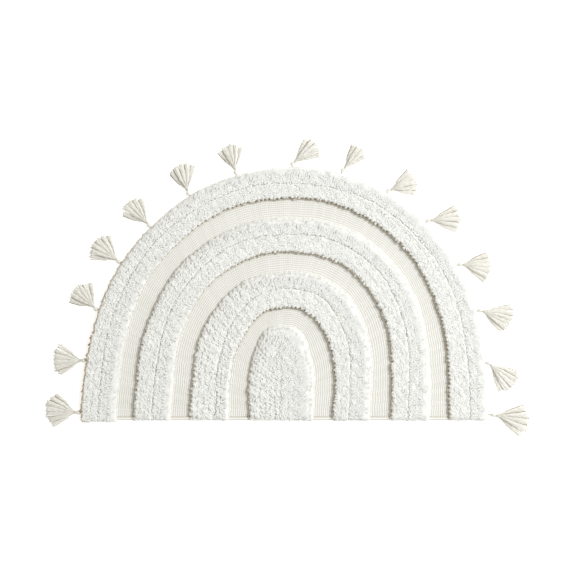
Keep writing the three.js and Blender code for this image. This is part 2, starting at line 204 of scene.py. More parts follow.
# The bed of yarn that tufts stand in: its height as a share of the pile's, its mesh, how near
# to a rope's ends it comes as a share of the length, how deep it goes, and its shade
BED_SHARE = 0.94
BED_STEP = 3
BED_ACROSS = (
    0, 0.04, 0.08, 0.13, 0.19, 0.26, 0.34, 0.42, 0.5, 0.58, 0.66, 0.74, 0.81, 0.87, 0.92, 0.96, 1,
)
BED_ENDS = 0.001
BED_FLOOR = 2
BED_SHADE = 0.5

# Channels of woven ground between the bands: the pitch of the ribs and of the stitches
# across them, how high a rib stands, how much of that a stitch makes, and how far the strip
# runs on under the pile
RIB_PITCH = 4.3
STITCH_PITCH = 3.9
RIB_RELIEF = 1.5
STITCH_RELIEF = 0.6
STRIP_HIDDEN = 5
# Painted shadow on the ground, by the distance from a steep flank, and how light the valleys
# between the ribs are, darkened by painted shade
FOOT_SHADOW_PAINT = ((0, 2, 6), (0.42, 0.22, 0))
VALLEY_PAINTED_LIGHTNESS = 0.45
# The rise of a rib and of a stitch over one pitch
RIB_SHAPE = (0, 0.75, 1, 0.75)
STITCH_SHAPE = (0, 0.8, 1, 0.8)
# Paired with the number of a row of stitches to give it a shade of its own
WEAVE_PAIR = 5
CHANNELS = (
    ("outer_channel_weave", "outer inside", "middle outside"),
    ("middle_channel_weave", "middle inside", "inner outside"),
    ("inner_channel_weave", "inner inside", "tongue"),
)

# Tassels from the left foot round to the right one: the share of the rim's length, the
# distance from the rim to the knot, where the yarn points, its length, half the fan's
# angle, and how far its ends curl to the left
Tassel = namedtuple("Tassel", "along out aim length spread bend")
TASSELS = (
    Tassel(0.0165, 5.6, 173, 63, 32, 0),
    Tassel(0.087, 5.6, 179, 60, 29, -1),
    Tassel(0.158, 5.6, 131, 57, 29, 0),
    Tassel(0.2285, 5.6, 140, 60, 29, 1),
    Tassel(0.292, 5.6, 131, 62, 24, 0),
    Tassel(0.3605, 5.6, 105, 60, 24, -1),
    Tassel(0.43, 5.6, 102, 56, 24, 0),
    Tassel(0.507, 5.6, 40, 60, 20, -2),
    Tassel(0.574, 6.5, 48, 57, 17, 0),
    Tassel(0.641, 5.6, 18, 58, 24, 1),
    Tassel(0.707, 5.8, 3, 64, 21, -1),
    Tassel(0.779, 5.8, -7, 62, 26, -1),
    Tassel(0.8465, 6.2, -19, 66, 25, -1),
    Tassel(0.918, 5.6, -43, 68, 22, -1),
    Tassel(0.988, 10.5, -12, 70, 23, 0),
)
# How far ahead and behind the rim's direction is taken, as a share of its length
RIM_STEP = 0.004

# The knot: turns of yarn wound round a core, given by its reach along the tassel and radius
KNOT_RADIUS = 4.6
KNOT_TURNS = 5
KNOT_TILT = 0.18
WRAP_RADIUS = 1.05
WRAP_STEPS = 20
WRAP_SIDES = 6
CORE = ((-4.6, -3, 0, 2.8, 5, 8, 11), (1.2, 3.2, 3.9, 3.2, 1.9, 2.3, 1.5))
CORE_SIDES = 8
# Thinner turns round the tie behind the knot and round the waist in front of it
THIN_WRAP_RADIUS = 0.8
THIN_WRAP_TILT = 0.3
TIE_RADIUS = 1.1
WAIST_RADIUS = 2.2
WAIST_PLACES = (5.6, 7.1, 8.6)
# Shade and lightness of the knot, and lightness of the tie and the waist, darkened by painted shade
HEAD_SHADE = 0.6
HEAD_RISE = 0.9
BOUND_PAINTED_LIGHTNESS = 0.65

# Yarns of the fan: the angle between clumps in degrees, and each yarn's place in its clump,
# whose last one lies low in the gap beside it, painted the tan of shaded yarn, and its lightness
CLUMP_PITCH = 11
YARN_PLACES = (-0.7, -0.47, -0.23, 0, 0.23, 0.47, 0.7, 1)
GAP_PAINTED_LIGHTNESS = 0.35
# How much higher the middle of a clump lies than its sides, along the yarns
RIDGE_LIFTS = ((0, 0.35, 1), (2.4, 4.4, 3))
# The same for the whole fan, and how square its section is
MOUND_LIFTS = ((0, 0.3, 0.8, 1), (3, 6.4, 5.8, 3.6))
MOUND_SQUARENESS = 4
# How far the fan has opened, along the yarns
FAN_OPENING = ((0, 0.12, 0.45, 1), (0.4, 0.55, 1, 1))
# One yarn: its mesh, its radius along it, how its root lifts into the knot, and where it starts
YARN_RINGS = 15
YARN_SIDES = 6
YARN_RADII = ((0, 0.4, 1), (0.5, 1.1, 1.1))
ROOT_LIFTS = ((0, 0.25), (3.1, 0))
YARN_START = 6
# How yarns differ: their sway and its half turns, their angle, their length, and their shades
YARN_SWAY = 0.5
SWAY_HALF_TURNS = (1.5, 3)
ANY_TURN = (0, 6)
YARN_ANGLES = 0.01
YARN_CUTS = (-0.035, 0.04)
CLUMP_SHADES = (0.3, 0.8)
OWN_SHADES = (-0.25, 0.25)
# The two plies of a yarn: how far they turn from ring to ring, how deep the crease between them
# is as a share of the radius, and how much painted shade darkens it
PLY_TURN = 1.05
PLY_DEPTH = 0.2
PLY_PAINTED_SHADE = 0.1
# How far yarns stay above the floor, how much shorter a fan is at its sides, and how ragged
FLOOR_CLEARANCE = 0.05
EDGE_SHORTER = 0.08
RAGGED = 0.035

# The photograph's side in pixels, how wide a pixel is on the floor, and the camera
IMAGE_SIDE = 576
PIXEL = 1.954
HEM_MIDDLE_PIXEL = (284, 420)
LENS = 85
SENSOR = 36
# The height above the floor at which a pixel has that width
SHARP_HEIGHT = 10

# Grain of fibres and threads and the canvas's weave, drawn about twice as coarse as real so
# that they show, and how deep the canvas's weave is
FIBRE_GRAIN = 0.9
THREAD_GRAIN = 0.7
CANVAS_PITCH = 1.6
CANVAS_RELIEF = 0.3
# How far light goes into fluffy cotton
LIGHT_DEPTH = 3

# Section of the hem, from its inner lower corner round, as shares of its width and height
HEM_SECTION = (
    (0.98, 0.06), (1, 0.2), (1, 0.6), (0.96, 0.85), (0.88, 0.95), (0.78, 0.99), (0.68, 1),
    (0.55, 1), (0.35, 1), (0.16, 0.97), (0.05, 0.86), (0, 0.62), (0, 0.3), (0.04, 0.06),
)
# How far the hem stops short of the rim, the share of its height above which it is its top,
# and its shade
HEM_END_INSET = 6
HEM_TOP_SHARE = 0.5
HEM_SHADE = 0.8
# The seam: where it lies and how far its dip reaches as shares of the hem's width, how deep the
# dip is at a stitch, how much deeper between stitches, and how much painted shade darkens it
SEAM_SHARE = 0.7
SEAM_REACH = 0.12
SEAM_DIP = 0.25
SEAM_BETWEEN_DIP = 0.45
SEAM_PAINTED_SHADE = 0.25
# How light the hem is painted, with painted shadow near an edge, by the distance as a share of width
HEM_EDGE_PAINTED_SHADE = ((0, 0.1, 0.24), (0, 0.25, 1))

# Running stitches: where the row ends, how far one reaches each way as a share of the pitch,
# how far its ends dive into the cloth and how sharply, and the thread
THREAD_END_INSET = 12
STITCH_REACH = 0.36
STITCH_DIVE = 0.7
STITCH_SHARPNESS = 4
STITCH_RINGS = 5
THREAD_RADIUS = 0.45
THREAD_SIDES = 6

# How many points the ground cloth's curved edge has
GROUND_POINTS = 241

# The floor's half side in metres, and the lights: degrees, metres and watts
FLOOR_HALF_SIDE = 6
KEY_AZIMUTH = 24
KEY_ELEVATION = 50
KEY_DISTANCE = 4
KEY_SIZE = 1.2
KEY_POWER = 112
KEY_COLOUR = "#F8FAFF"
ROOM_LIGHT = 0.57
ROOM_COLOUR = "#FFFDF8"
FLOOR_GLOW = 0.5

RANDOM_SEED = 7
# Spins that share no simple ratio, so that neighbouring pairs give unlike numbers
FIRST_SPIN = 12.99
SECOND_SPIN = 78.23
SPIN_SCALE = 43758.5
NEVER_ZERO = 1e-9


def unevenness(first, second):
    """A number from -1 to 1 that is always the same for the same pair."""
    spun = np.sin(first * FIRST_SPIN + second * SECOND_SPIN) * SPIN_SCALE
    return 2 * (spun - np.floor(spun)) - 1


def wave_at(places, turn, wave):
    """One wave that runs across the plan."""
    return np.sin(turn * (wave.right * places[..., 0] + wave.up * places[..., 1]) + wave.start)


def lump_at(places, length=LUMP_LENGTH):
    """The lumps of the pile by the place on the plan, from about -1 to 1."""
    turn = 2 * math.pi / length
    crossed = [wave_at(places, turn, one) * wave_at(places, turn, other) for one, other in LUMP_WAVES]
    return LUMP_SIZE * sum(crossed)


def wander(share, order):
    """How far a trimmed edge wanders outwards along an arch."""
    swing = -np.cos(2 * math.pi * SWING_TURNS * (share - SWING_START))
    shiver = np.sin(2 * math.pi * (SHIVER_TURNS * share + SHIVER_STEP * order))
    return SWING * swing + SHIVER * shiver


def lean_at(arch, height):
    """How far an arch's middle lies to the right at a height above the hem line."""
    return arch.shift + arch.lean * np.maximum(height, 0) / arch.rise


def unit(vectors):
    """The vectors at length one."""
    return vectors / np.maximum(np.linalg.norm(vectors, axis=-1, keepdims=True), NEVER_ZERO)


def path_lengths(path):
    """The length of a path up to each of its points."""
    steps = np.linalg.norm(np.diff(path, axis=0), axis=1)
    return np.concatenate([[0], np.cumsum(steps)])


def at_share(path, share):
    """Places at shares of a path's length."""
    lengths = path_lengths(path)
    wanted = np.clip(share, 0, 1) * lengths[-1]
    return np.stack([np.interp(wanted, lengths, path[:, axis]) for axis in (0, 1)], axis=-1)


def arch_path(arch, spills):
    """Points up an arch's left leg, over its crown and down its right leg."""
    turn = np.linspace(math.pi, 0, PATH_SAMPLES)
    across = np.cos(turn)
    height = arch.rise * np.abs(np.sin(turn)) ** (2 / arch.squareness)
    aside = arch.half_width * np.sign(across) * np.abs(across) ** (2 / arch.squareness)
    path = np.stack([aside + lean_at(arch, height), height], axis=-1)
    path[0, 1] = -spills[0]
    path[-1, 1] = -spills[1]
    return path


def crest_path(spills):
    """The tongue's crest, up its middle and back down, as both halves share it."""
    half = np.linspace(-spills[0], TONGUE_CREST_RISE, BORDER_STEPS // 2)
    height = np.concatenate([half, half[::-1]])
    return np.stack([lean_at(ARCHES["tongue"], height), height], axis=-1)


def towards_middle(places):
    """Directions from places on the plan to the tongue's middle."""
    across = lean_at(ARCHES["tongue"], places[:, 1])
    return unit(np.stack([across, np.full(len(places), TONGUE_CREST_RISE / 2)], axis=-1) - places)


def border(name, spills=(0, 0)):
    """The trimmed edge of the pile along an arch."""
    if name == "crest":
        return crest_path(spills)
    share = np.linspace(0, 1, BORDER_STEPS + 1)
    path = at_share(arch_path(ARCHES[name], spills), share)
    from_end = np.minimum(share, 1 - share) * path_lengths(path)[-1]
    inwards = towards_middle(path)
    inwards[from_end < FOOT_REACH[-1], 1] = 0
    uneven = wander(share, ARCHES[name].order) + LUMP_ASIDE * lump_at(path)
    moved = -uneven * np.interp(from_end, FOOT_REACH, FOOT_SHARES)
    if name == "rim":
        moved += np.interp(from_end, FOOT_REACH, CORNER_ROUNDING)
    return path + inwards * moved[:, None]


# A patch of the mat between two borders, with the length of the outer one and its mean width
Patch = namedtuple("Patch", "outer inner length width")


def patch_between(outer, inner):
    """The part of the mat between an outer and an inner border."""
    share = np.linspace(0, 1, PATCH_SAMPLES)
    apart = np.linalg.norm(at_share(outer, share) - at_share(inner, share), axis=1)
    return Patch(outer, inner, path_lengths(outer)[-1], float(np.mean(apart)))


def on_patch(patch, share, across):
    """Places on a patch, by the share along it and the share across it."""
    outer = at_share(patch.outer, share)
    inner = at_share(patch.inner, share)
    return outer + (inner - outer) * np.asarray(across)[..., None]


def outwards_on(patch, share):
    """Directions across a patch, from its inner border to its outer one."""
    return unit(at_share(patch.outer, share) - at_share(patch.inner, share))


def to_clump(rope, patch, share, across):
    """How far the middle of its clump is from each place, along the rope and inwards across it,
    in clump pitches. Clumps stand like bricks, each course a little further along."""
    inwards = across * patch.width / rope.clumps.pitch
    row = np.floor(inwards)
    along = share * patch.length / rope.clumps.pitch + CLUMP_SLANT * inwards + row / 2
    column = np.floor(along)
    along_middle = column + 0.5 + CLUMP_JITTER * unevenness(column, row)
    inwards_middle = row + 0.5 + CLUMP_JITTER * unevenness(row + OTHER_ROW, column + OTHER_COLUMN)
    return along_middle - along, inwards_middle - inwards


def from_free_edge(rope, across):
    """The share across a rope, counted from its free edge."""
    return across if rope.free == OUTER_FREE else 1 - across


def heading(turn):
    """The direction on the plan at an angle from +X."""
    return np.array([math.cos(turn), math.sin(turn)])


def facing_on(patch, share):
    """How much an arch faces the way that the pile is brushed, from -1 to 1."""
    return outwards_on(patch, share) @ heading(math.radians(BRUSHED_TOWARDS))


def gentleness(rope, patch, share):
    """From 0 where a rope's free flank is steep to 1 where it is gentle."""
    return np.clip(0.5 + FLANK_CHANGE * rope.free * facing_on(patch, share), 0, 1)


def ruffle_at(rope, patch, share, across):
    """How ruffled the pile is, from 1 on the arches' left down to where it lies brushed flat."""
    on_top = 1 - CALMED * (facing_on(patch, share) + 1) / 2
    on_flank = np.interp(from_free_edge(rope, across), *FLANK_CALMED)
    return on_top * (1 - on_flank * gentleness(rope, patch, share))


def rope_places(rope, patch, share, across):
    """Places on a rope, whose free edge bulges out in a bead at each clump."""
    along, _ = to_clump(rope, patch, share, across)
    from_free = from_free_edge(rope, across) * patch.width
    depth = RIM_BEAD_DEPTH if rope.outside == "rim" else BEAD_DEPTH
    depth = depth * (1 - BEAD_CALMED * gentleness(rope, patch, share))
    bulge = rope.free * depth / 2 * np.cos(2 * math.pi * along) * np.exp(-from_free / BEAD_REACH)
    return on_patch(patch, share, across) + outwards_on(patch, share) * bulge[..., None]


def by_flank(rope, patch, share, across, steep, gentle):
    """A value across the rope from its free edge, between those of a steep and a gentle flank."""
    from_free = from_free_edge(rope, across)
    change = gentleness(rope, patch, share)
    return (1 - change) * np.interp(from_free, *steep) + change * np.interp(from_free, *gentle)


def section_at(rope, patch, share, across):
    """The share of the pile's height across a rope."""
    section = by_flank(rope, patch, share, across, STEEP_FLANK, GENTLE_FLANK)
    if rope.inside == "crest":
        return section
    return section * np.interp(from_free_edge(rope, across), *PARTING_DIP)


def foot_shadow_lightness(rope, patch, share, across):
    """How light the pile is painted: painted shadow turns the foot of a steep flank tan."""
    from_free = from_free_edge(rope, across) * patch.width
    low = np.interp(from_free, *(RIM_FOOT_SHADOW if rope.outside == "rim" else CHANNEL_FOOT_SHADOW))
    return 1 - low * (1 - gentleness(rope, patch, share))


def pile_share(rope, patch, share, across, places):
    """The height of the pile's top above the ground, with its lumps, grooves and trimmed feet."""
    from_end = np.minimum(share, 1 - share) * patch.length
    foot = np.interp(from_end, FOOT_REACH, FOOT_SHARES)
    from_middle = np.hypot(*to_clump(rope, patch, share, across))
    groove = rope.clumps.groove * np.interp(from_middle, *GROOVE_SECTION)
    groove *= ruffle_at(rope, patch, share, across)
    full = PILE_HEIGHT - GROUND_HEIGHT + LUMP_UP * lump_at(places) - groove
    return section_at(rope, patch, share, across) * foot * full


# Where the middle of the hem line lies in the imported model's frame
rug_low, rug_high = (np.array(corner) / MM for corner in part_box("rug"))
rim_border = border("rim", ROPES[0].spills)
HEM_MIDDLE = np.array([
    (rug_low[0] + rug_high[0] - rim_border[:, 0].min() - rim_border[:, 0].max()) / 2,
    rug_low[1] + ROPES[0].spills[0],
])


def new_object(name, data):
    """An object in the scene, made from a mesh, a lamp or a camera."""
    made = bpy.data.objects.new(name, data)
    bpy.context.scene.collection.objects.link(made)
    return made


def add_piece(name, points, faces, finish, values=None):
    """Makes a mesh object from points in millimetres on the plan, and lets it ride with the rug."""
    placed = np.array(points, float).reshape(-1, 3)
    placed[:, :2] += HEM_MIDDLE
    mesh = bpy.data.meshes.new(name)
    mesh.from_pydata((placed * MM).tolist(), [], faces)
    mesh.polygons.foreach_set("use_smooth", [True] * len(mesh.polygons))
    for key, numbers in (values or {}).items():
        attribute = mesh.attributes.new(key, "FLOAT", "POINT")
        attribute.data.foreach_set("value", np.asarray(numbers, np.float32))
    mesh.materials.append(finish)
    mesh.update()
    piece = new_object(name, mesh)
    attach(piece, "root")
    return piece


def round_angles(count):
    """Even angles once round."""
    return np.arange(count) * 2 * math.pi / count


def ring_quads(count, around):
    """Faces that join rings of points, by the points' numbers. They face outwards where the
    rings turn like a right-hand screw along their row."""
    index = np.arange(count * around).reshape(count, around)
    beside = np.roll(index, -1, axis=1)
    return np.stack([index[:-1], beside[:-1], beside[1:], index[1:]], axis=-1).reshape(-1, 4)


def loft(rings, capped=True):
    """Faces that join closed rings of points, given as an array of rings."""
    count, around = rings.shape[:2]
    faces = ring_quads(count, around).tolist()
    if capped:
        first = list(range(around))
        last = [corner + (count - 1) * around for corner in first]
        faces += [first[::-1], last]
    return faces


def sweep(spines, across, widths, depths, sides, tips=None):
    """Rings round many spines at once, with their faces. Widths lie along the across vectors.
    Tips, where given, close each strand in a point."""
    strands, rings = spines.shape[:2]
    forward = unit(np.gradient(spines, axis=1))
    wanted = across[:, None, :]
    sideways = unit(wanted - forward * np.sum(wanted * forward, axis=-1, keepdims=True))
    upwards = np.cross(forward, sideways)
    angle = round_angles(sides)
    aside = sideways[:, :, None, :] * (np.cos(angle) * widths[..., None])[..., None]
    aloft = upwards[:, :, None, :] * (np.sin(angle) * depths[..., None])[..., None]
    points = (spines[:, :, None, :] + aside + aloft).reshape(strands, rings * sides, 3)
    ends = (rings - 1) * sides + np.arange(sides)[None]
    if tips is not None:
        points = np.concatenate([points, tips[:, None, :]], axis=1)
        tip = np.full(sides, rings * sides)
        ends = np.stack([ends[0], np.roll(ends[0], -1), tip], axis=-1)
    starts = np.arange(strands)[:, None, None] * points.shape[1]
    faces = []
    for corners in (ring_quads(rings, sides), ends):
        faces += (corners[None] + starts).reshape(-1, corners.shape[1]).tolist()
    return points, faces


def joined(parts):
    """One list of points and one of faces from several."""
    points, faces, start = [], [], 0
    for part_points, part_faces in parts:
        flat = np.asarray(part_points).reshape(-1, 3)
        points.append(flat)
        faces += [[corner + start for corner in face] for face in part_faces]
        start += len(flat)
    return np.concatenate(points), faces


def srgb(hex_colour):
    """A colour given as an sRGB hex value, in linear light."""
    parts = np.array([int(hex_colour[start:start + 2], 16) for start in (1, 3, 5)]) / 255
    linear = np.where(parts <= 0.04045, parts / 12.92, ((parts + 0.055) / 1.055) ** 2.4)
    return (*linear.tolist(), 1)


def add_node(material, kind, settings=None, links=None):
    """Adds a node with its settings, and links its inputs to other nodes' outputs."""
    tree = material.node_tree
    node = tree.nodes.new(kind)
    for key, value in (settings or {}).items():
        if key in node.inputs:
            node.inputs[key].default_value = value
        else:
            setattr(node, key, value)
    for key, (source, output) in (links or {}).items():
        tree.links.new(source.outputs[output], node.inputs[key])
    return node


def new_finish(name, roughness, sheen):
    """A matt fibre finish, its shader ready for colour and relief."""
    material = bpy.data.materials.new(name)
    material.use_nodes = True
    shader = material.node_tree.nodes["Principled BSDF"]
    shader.inputs["Roughness"].default_value = roughness
    shader.inputs["Sheen Weight"].default_value = sheen
    shader.inputs["Sheen Roughness"].default_value = 0.5
    shader.inputs["Specular IOR Level"].default_value = 0.25
    shader.inputs["Subsurface Radius"].default_value = (0.97, 1, 1)
    shader.inputs["Subsurface Scale"].default_value = LIGHT_DEPTH * MM
    return material, shader


def add_relief(material, shader, pattern, strength, depth):
    """Relief in the shader as deep as its pattern is bright."""
    size = {"Strength": strength, "Distance": depth * MM}
    relief = add_node(material, "ShaderNodeBump", size, {"Height": (pattern, "Fac")})
    material.node_tree.links.new(relief.outputs["Normal"], shader.inputs["Normal"])


def fibre_relief(material, shader, grain, strength, depth):
    """Fine fibres or twist in the surface, too fine to build, as relief in the shader."""
    place = add_node(material, "ShaderNodeTexCoord")
    size = {"Scale": 1 / (grain * MM), "Detail": 3, "Roughness": 0.6}
    fibres = add_node(material, "ShaderNodeTexNoise", size, {"Vector": (place, "Object")})
    add_relief(material, shader, fibres, strength, depth)


def shade_by_tuft_and_rise(material, shader, dull, bright, deep):
    """Each tuft or yarn has a shade from dull to bright, and painted shade turns it to the deep colour.
    """
    tuft = add_node(material, "ShaderNodeAttribute", {"attribute_name": "tuft"})
    rise = add_node(material, "ShaderNodeAttribute", {"attribute_name": "rise"})
    ends = {"Color1": srgb(dull), "Color2": srgb(bright)}
    shade = add_node(material, "ShaderNodeMixRGB", ends, {"Fac": (tuft, "Fac")})
    links = {"Fac": (rise, "Fac"), "Color2": (shade, "Color")}
    colour = add_node(material, "ShaderNodeMixRGB", {"Color1": srgb(deep)}, links)
    material.node_tree.links.new(colour.outputs["Color"], shader.inputs["Base Color"])


def cut_pile_cotton():
    """Cut and fluffed cotton pile: matt and nearly white, each tuft a shade of its own, with painted
    shade that makes it warmer and darker at the root and at the foot of a steep flank."""
    material, shader = new_finish("cut pile cotton", roughness=0.95, sheen=0.2)
    shader.inputs["Subsurface Weight"].default_value = 0.25
    shade_by_tuft_and_rise(material, shader, dull="#FAFBF5", bright="#FDFEFA", deep="#AA9269")
    fibre_relief(material, shader, FIBRE_GRAIN, strength=0.2, depth=0.25)
    return material


def flat_woven_cotton():
    """Undyed cotton woven flat, creamier than the pile, with painted shade in valleys and by steep
    flanks.
    """
    material, shader = new_finish("flat-woven cotton", roughness=0.9, sheen=0.1)
    shade_by_tuft_and_rise(material, shader, dull="#F4F4EE", bright="#FAFAF6", deep="#B0AA97")
    fibre_relief(material, shader, THREAD_GRAIN, strength=0.35, depth=0.3)
    return material


def spun_cotton_yarn():
    """Soft plied cotton yarn, a warm cream, with painted shade in ply creases, gaps, the tie and the
    waist.
    """
    material, shader = new_finish("spun cotton yarn", roughness=0.9, sheen=0.15)
    shader.inputs["Subsurface Weight"].default_value = 0.2
    shade_by_tuft_and_rise(material, shader, dull="#F5F2E6", bright="#FEFDF7", deep="#8E8062")
    fibre_relief(material, shader, THREAD_GRAIN, strength=0.35, depth=0.3)
    return material


def folded_cotton_hem():
    """Cotton folded and pressed flat, smoother and whiter than the weave, with painted shadow at its
    edges.
    """
    material, shader = new_finish("folded cotton hem", roughness=0.9, sheen=0.1)
    shade_by_tuft_and_rise(material, shader, dull="#F8F8F3", bright="#FBFBF6", deep="#A2967A")
    fibre_relief(material, shader, THREAD_GRAIN, strength=0.35, depth=0.3)
    return material


def canvas_back():
    """Plain cotton canvas that closes the underside: even, matt and a little darker."""
    material, shader = new_finish("cotton canvas back", roughness=0.92, sheen=0.05)
    shader.inputs["Base Color"].default_value = srgb("#E6E1D0")
    place = add_node(material, "ShaderNodeTexCoord")
    # Moved by half a cell, so that the flat underside isn't where two cells meet
    move = {"Location": [CANVAS_PITCH / 2 * MM] * 3}
    shifted = add_node(material, "ShaderNodeMapping", move, {"Vector": (place, "Object")})
    size = {"Scale": 1 / (CANVAS_PITCH * MM)}
    weave = add_node(material, "ShaderNodeTexChecker", size, {"Vector": (shifted, "Vector")})
    add_relief(material, shader, weave, strength=0.5, depth=CANVAS_RELIEF)
    return material


def sewing_thread():
    """Thin mercerised cotton thread, smoother than the cloth it lies in."""
    material, shader = new_finish("sewing thread", roughness=0.6, sheen=0)
    shader.inputs["Base Color"].default_value = srgb("#E4DECB")
    return material


def studio_floor():
    """Matt white paint on a plain studio floor."""
    material, shader = new_finish("matt studio floor", roughness=0.9, sheen=0)
    shader.inputs["Base Color"].default_value = srgb("#F7F7F7")
    shader.inputs["Emission Color"].default_value = srgb("#FFFFFF")
    shader.inputs["Emission Strength"].default_value = FLOOR_GLOW
    return material


def tuft_grid(patch, pitch, random):
    """Scattered places on a patch about a pitch apart, thinned where the borders run together."""
    rows = max(int(patch.width / pitch), 2)
    columns = int(patch.length / pitch)
    share, across = np.meshgrid((np.arange(columns) + 0.5) / columns, (np.arange(rows) + 0.5) / rows)
    share = (share + random.uniform(-TUFT_SCATTER, TUFT_SCATTER, share.shape) / columns).ravel()
    across = (across + random.uniform(-TUFT_SCATTER, TUFT_SCATTER, across.shape) / rows).ravel()
    step = 0.5 / columns
    apart = np.linalg.norm(
        on_patch(patch, share + step, across) - on_patch(patch, share - step, across), axis=1
    )
    keep = random.uniform(0, 1, len(share)) < apart / pitch
    return share[keep], across[keep]


def tuft_leans(rope, patch, share, across, places, random):
    """How far each tuft leans on the plan, as a share of its reach."""
    outwards = outwards_on(patch, share)
    along = np.stack([-outwards[:, 1], outwards[:, 0]], axis=-1)
    out = rope.free * by_flank(rope, patch, share, across, STEEP_LEAN, GENTLE_LEAN)
    ruffle = ruffle_at(rope, patch, share, across)
    out += SWIRL_OUT * lump_at(places, SWIRL_OUT_LENGTH)
    out += ruffle * random.normal(0, OWN_OUT, len(share))
    aside = SWIRL_ALONG * lump_at(places[:, ::-1], SWIRL_ALONG_LENGTH)
    aside += ruffle * random.normal(0, OWN_ALONG, len(share))
    lean = outwards * out[:, None] + along * aside[:, None]
    lean += BRUSHED_LEAN * heading(math.radians(BRUSHED_TOWARDS))
    from_end = np.minimum(share, 1 - share) * patch.length
    lean[:, 1] -= np.interp(from_end, (0, FOOT_LEAN_REACH), (FOOT_LEAN, 0))
    size = np.linalg.norm(lean, axis=1, keepdims=True)
    return lean * np.minimum(1, MOST_LEAN / np.maximum(size, NEVER_ZERO))


def bent_spines(root, bend, tip):
    """Points along bent tufts at their rings, from root to tip."""
    rise = np.array(TUFT_RINGS)[None, :, None]
    return (
        root[:, None] * (1 - rise) ** 2
        + bend[:, None] * 2 * rise * (1 - rise)
        + tip[:, None] * rise**2
    )


def tuft_paths(rope, patch, random):
    """The spines, tips and leans of a rope's tufts, gathered towards the middles of clumps, and
    how light each one is painted, with painted shadow at the foot of a steep flank."""
    pitch = TUFT_PITCH * 1
    share, across = tuft_grid(patch, pitch, random)
    places = rope_places(rope, patch, share, across)
    lean = tuft_leans(rope, patch, share, across, places, random) * TUFT_REACH
    tip = places + TUFT_BEYOND * lean
    outwards = outwards_on(patch, share)
    along, inwards = to_clump(rope, patch, share, across)
    arch_way = np.stack([outwards[:, 1], -outwards[:, 0]], axis=-1)
    drawn = rope.clumps.pull * rope.clumps.pitch
    tip += drawn * (arch_way * along[:, None] - outwards * inwards[:, None])
    top = GROUND_HEIGHT + pile_share(rope, patch, share, across, places)
    ruffle = ruffle_at(rope, patch, share, across)
    top += ruffle * random.normal(0, TUFT_UNEVEN, len(share))
    bed = GROUND_HEIGHT + BED_SHARE * (top - GROUND_HEIGHT) - TUFT_ROOT_DEPTH
    root = np.column_stack([places - (1 - TUFT_BEYOND) * lean, bed])
    tip = np.column_stack([tip, top - TUFT_DROOP * np.linalg.norm(lean, axis=1)])
    bend = (1 - TUFT_BEND) * root + TUFT_BEND * tip
    bend[:, 2] = top + ruffle * TUFT_ARCHING
    return bent_spines(root, bend, tip), tip, lean, foot_shadow_lightness(rope, patch, share, across)


def pile_tufts(rope, patch, random):
    """Bent tufts that stand in the bed of a rope."""
    spines, tips, lean, light = tuft_paths(rope, patch, random)
    count = len(tips)
    size = random.uniform(*TUFT_SIZES, count)[:, None]
    flat = np.column_stack([-lean[:, 1], lean[:, 0], np.zeros(count)])
    widths = size * np.array(TUFT_WIDTHS)
    depths = size * np.array(TUFT_DEPTHS)
    points, faces = sweep(spines, unit(flat), widths, depths, TUFT_SIDES, tips=tips)
    shades = np.repeat(random.uniform(0, 1, count), points.shape[1])
    # Painted shade darkens each tuft's root, and painted shadow the tufts at the foot of a steep flank
    rise = np.minimum(ROOT_PAINTED_LIGHTNESS + np.array(TUFT_RINGS), 1)
    painted_lightness = (light[:, None] * np.append(np.repeat(rise, TUFT_SIDES), 1)).ravel()
    return points.reshape(-1, 3), faces, shades, painted_lightness


def closed_strip(places, heights):
    """Closed rings across a strip of ground: its top, and a flat side below."""
    top = np.concatenate([places, heights[..., None]], axis=-1)
    low = top[:, [-1, 0]].copy()
    low[..., 2] = BED_FLOOR
    return np.concatenate([top, low], axis=1)


def pile_bed(rope, patch):
    """The closed mass of yarn that the tufts of a rope stand in, darkened by painted shade."""
    steps = int(patch.length / BED_STEP)
    share, across = np.meshgrid(np.linspace(BED_ENDS, 1 - BED_ENDS, steps + 1), BED_ACROSS, indexing="ij")
    places = rope_places(rope, patch, share, across)
    heights = GROUND_HEIGHT + BED_SHARE * pile_share(rope, patch, share, across, places)
    # Painted shade under the tufts, and painted shadow at the foot of a steep flank
    light = ROOT_PAINTED_LIGHTNESS * foot_shadow_lightness(rope, patch, share, across)
    return closed_strip(places, heights), np.concatenate([light, light[:, [-1, 0]]], axis=1).ravel()


def add_pile(rope, finish, random):
    """One rope of cut pile, its bed and its tufts in one piece."""
    patch = patch_between(border(rope.outside, rope.spills), border(rope.inside, rope.spills))
    bed_rings, bed_painted_lightness = pile_bed(rope, patch)
    bed_points = bed_rings.reshape(-1, 3)
    tuft_points, tuft_faces, shades, painted_lightness = pile_tufts(rope, patch, random)
    points, faces = joined([(bed_points, loft(bed_rings)), (tuft_points, tuft_faces)])
    shades = np.concatenate([np.full(len(bed_points), BED_SHADE), shades])
    painted_lightness = np.concatenate([bed_painted_lightness, painted_lightness])
    return add_piece(rope.name, points, faces, finish, {"tuft": shades, "rise": painted_lightness})


def painted_foot_shadow(patch, share, across):
    """How light the ground is painted beside the pile: painted shadow at the foot of a steep flank."""
    facing = facing_on(patch, share)
    from_steep = np.where(facing > 0, across, 1 - across) * patch.width
    shadowed = np.clip(2 * FLANK_CHANGE * np.abs(facing), 0, 1)
    return 1 - shadowed * np.interp(from_steep, *FOOT_SHADOW_PAINT)


